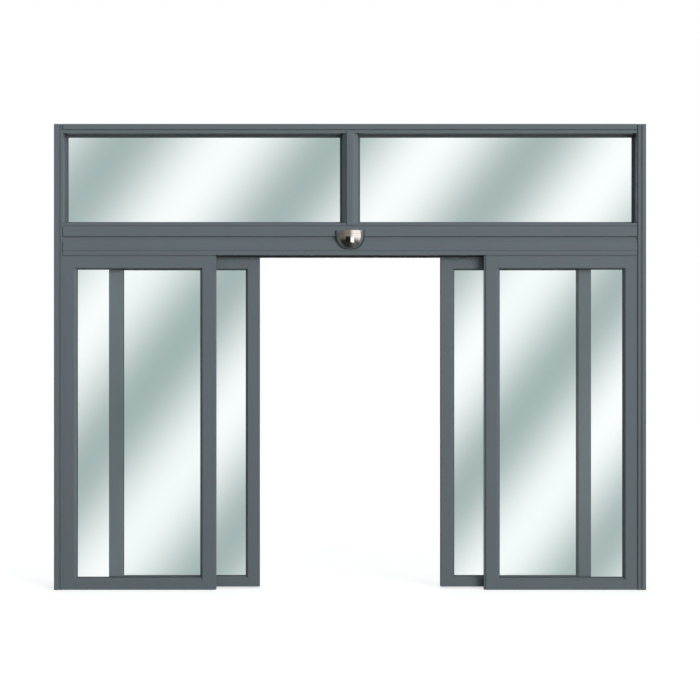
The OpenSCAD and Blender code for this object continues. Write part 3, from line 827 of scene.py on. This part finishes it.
for side, way_out in (("left", 1), ("right", -1)):
    node = side + "_leaf_nose_seal"
    low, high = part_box(node)
    root = low.x if way_out > 0 else high.x
    out = high.x - low.x
    width = high.y - low.y
    steps = 36
    crest = []
    for i in range(steps + 1):
        share = i / steps
        edge = min(1.0, 12 * min(share, 1 - share))
        rib = 0.62 + 0.38 * math.cos(6 * math.pi * (share - 0.5)) ** 2
        crest.append((root + way_out * out * rib * edge, low.y + width * share))
    section = [(root, low.y)] + crest[1:-1] + [(root, high.y)]
    shape = bmesh.new()
    ends = [[shape.verts.new((x, y, z)) for x, y in section] for z in (low.z, high.z)]
    for i in range(len(section)):
        j = (i + 1) % len(section)
        shape.faces.new((ends[0][i], ends[0][j], ends[1][j], ends[1][i]))
    shape.faces.new(list(reversed(ends[0])))
    shape.faces.new(ends[1])
    bmesh.ops.recalc_face_normals(shape, faces=shape.faces)
    mesh = bpy.data.meshes.new(node + "_strip")
    shape.to_mesh(mesh)
    shape.free()
    mesh.materials.append(epdm)
    strip_piece = bpy.data.objects.new(node + "_strip", mesh)
    scene.collection.objects.link(strip_piece)
    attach(strip_piece, side + "_leaf")
    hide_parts(node)

# ---- Hangers and floor guides -----------------------------------------------------------
# Each leaf hangs from two zinc-plated steel hangers with flanged wheels, and a stainless
# steel guide screwed to the floor keeps its bottom edge in line.

zinc = bpy.data.materials.new("zinc_plated_steel")
zinc.use_nodes = True
tree = zinc.node_tree
tree.nodes.clear()
place = add_node(tree, "ShaderNodeTexCoord").outputs["Object"]
# spangle about 8 mm across
spangle = add_node(tree, "ShaderNodeTexVoronoi", {"Vector": place, "Scale": 125.0})
plated = add_node(
    tree, "ShaderNodeMix", {"Factor": spangle.outputs["Distance"]}, data_type="RGBA"
)
plated.inputs[6].default_value = linear("#B9BCBD")
plated.inputs[7].default_value = linear("#8F9395")
haze = add_node(
    tree, "ShaderNodeMapRange",
    {"Value": spangle.outputs["Distance"], "To Min": 0.28, "To Max": 0.45},
)
surface = add_node(
    tree, "ShaderNodeBsdfPrincipled",
    {"Base Color": plated.outputs[2], "Metallic": 1.0, "Roughness": haze.outputs["Result"]},
)
add_node(tree, "ShaderNodeOutputMaterial", {"Surface": surface.outputs[0]})
for side in ("left", "right"):
    for part in ("_leaf_carriages", "_floor_guide"):
        fitting = frame["nodes"][side + part]
        fitting.data.materials.clear()
        fitting.data.materials.append(zinc)

# ---- Screws -----------------------------------------------------------------------------
# Stainless pan-head screws hold the header covers, the inside glazing beads and the floor
# guides. Each head is domed, with a cross recess.

stainless = bpy.data.materials.new("stainless_steel_screw")
stainless.use_nodes = True
tree = stainless.node_tree
tree.nodes.clear()
place = add_node(tree, "ShaderNodeTexCoord").outputs["Object"]
tumbled = add_node(tree, "ShaderNodeTexNoise", {"Vector": place, "Scale": 800.0})
rub = add_node(
    tree, "ShaderNodeMapRange", {"Value": tumbled.outputs["Fac"], "To Min": 0.25, "To Max": 0.40}
)
surface = add_node(
    tree, "ShaderNodeBsdfPrincipled",
    {"Base Color": linear("#C4C2BE"), "Metallic": 1.0, "Roughness": rub.outputs["Result"]},
)
add_node(tree, "ShaderNodeOutputMaterial", {"Surface": surface.outputs[0]})


def screw_head(radius, height):
    """A domed head that stands on the plane z = 0, with a sunken cross in its top."""
    shape = bmesh.new()
    sides = 24
    cross = 0.55
    slot_half = 0.12
    levels = [(1.0, 0.0), (1.0, 0.35), (0.92, 0.7), (0.72, 0.95)]
    rings = [
        [
            shape.verts.new(
                (
                    radius * r * math.cos(2 * math.pi * i / sides),
                    radius * r * math.sin(2 * math.pi * i / sides),
                    height * h,
                )
            )
            for i in range(sides)
        ]
        for r, h in levels
    ]
    for lower, upper in zip(rings, rings[1:]):
        for i in range(sides):
            j = (i + 1) % sides
            shape.faces.new((lower[i], lower[j], upper[j], upper[i]))
    outline = []
    for quarter in range(4):
        turn = quarter * math.pi / 2
        for x, y in ((slot_half, slot_half), (slot_half, cross), (-slot_half, cross)):
            outline.append(
                (
                    radius * (x * math.cos(turn) - y * math.sin(turn)),
                    radius * (x * math.sin(turn) + y * math.cos(turn)),
                )
            )
    top = [shape.verts.new((x, y, height)) for x, y in outline]
    pit = [shape.verts.new((x * 0.8, y * 0.8, height * 0.35)) for x, y in outline]
    count = len(outline)
    for i in range(count):
        j = (i + 1) % count
        shape.faces.new((top[i], top[j], pit[j], pit[i]))
    shape.faces.new(pit)
    bmesh.ops.triangle_fill(
        shape, use_beauty=True,
        edges=[e for e in shape.edges if e.is_boundary and all(v.co.z > height * 0.9 for v in e.verts)],
    )
    shape.faces.new(list(reversed(rings[0])))
    bmesh.ops.recalc_face_normals(shape, faces=shape.faces)
    mesh = bpy.data.meshes.new("screw_head")
    shape.to_mesh(mesh)
    shape.free()
    head = bpy.data.objects.new("screw_head", mesh)
    scene.collection.objects.link(head)
    return head


screw_tree, sizes = new_tree(
    "row_of_screws",
    {
        "Head": "NodeSocketObject", "Count": COUNT, "First": VECTOR, "Step": VECTOR,
        "Turn": VECTOR,
    },
)
row = add_node(
    screw_tree, "GeometryNodeMeshLine",
    {"Count": sizes["Count"], "Start Location": sizes["First"], "Offset": sizes["Step"]},
)
head_in = add_node(screw_tree, "GeometryNodeObjectInfo", {"Object": sizes["Head"]})
slack = add_node(screw_tree, "FunctionNodeRandomValue", {"Seed": 5}, data_type="FLOAT")
slack.inputs[2].default_value = 0.0
slack.inputs[3].default_value = math.pi / 2
spin = add_node(screw_tree, "ShaderNodeCombineXYZ", {"Z": slack.outputs[1]})
heads = add_node(
    screw_tree, "GeometryNodeInstanceOnPoints",
    {
        "Points": row.outputs[0], "Instance": head_in.outputs["Geometry"],
        "Rotation": sizes["Turn"],
    },
)
turned = add_node(
    screw_tree, "GeometryNodeRotateInstances",
    {"Instances": heads.outputs[0], "Rotation": spin.outputs[0], "Local Space": True},
)
close_tree(screw_tree, turned.outputs[0], stainless)

small_head = screw_head(0.0042, 0.0022)
large_head = screw_head(0.0060, 0.0030)
facing_down = Vector((math.pi, 0, 0))
facing_in = Vector((-math.pi / 2, 0, 0))
facing_up = Vector((0, 0, 0))


def screw_row(name, head, first, last, count, turn):
    """A row of screws from the first place to the last, fixed to the frame."""
    step = (last - first) / max(1, count - 1)
    screws = grown(
        name, screw_tree,
        {"Head": head, "Count": count, "First": first, "Step": step, "Turn": turn},
    )
    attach(screws, "frame")


inset = 0.12
for node, from_face in (("header_cover_front", 0.016), ("header_cover_back", -0.016)):
    low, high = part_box(node)
    line = low.y + from_face if from_face > 0 else high.y + from_face
    screw_row(
        node + "_screws", small_head, Vector((low.x + inset, line, low.z)),
        Vector((high.x - inset, line, low.z)), 8, facing_down,
    )
for node in ("fanlight_top_beads", "fanlight_bottom_beads"):
    low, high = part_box(node)
    height = (low.z + high.z) / 2
    mullion_low, mullion_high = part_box("fanlight_mullion")
    for side, start, end in (
        ("left", low.x, mullion_low.x), ("right", mullion_high.x, high.x),
    ):
        screw_row(
            f"{node}_{side}_screws", small_head, Vector((start + 0.06, high.y, height)),
            Vector((end - 0.06, high.y, height)), 7, facing_in,
        )
for side in ("left", "right"):
    low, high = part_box(side + "_floor_guide")
    line = low.y + 0.0105
    screw_row(
        side + "_floor_guide_screws", large_head, Vector((low.x + 0.025, line, low.z + 0.004)),
        Vector((high.x - 0.025, line, low.z + 0.004)), 2, facing_up,
    )
for head in (small_head, large_head):
    bpy.data.objects.remove(head)
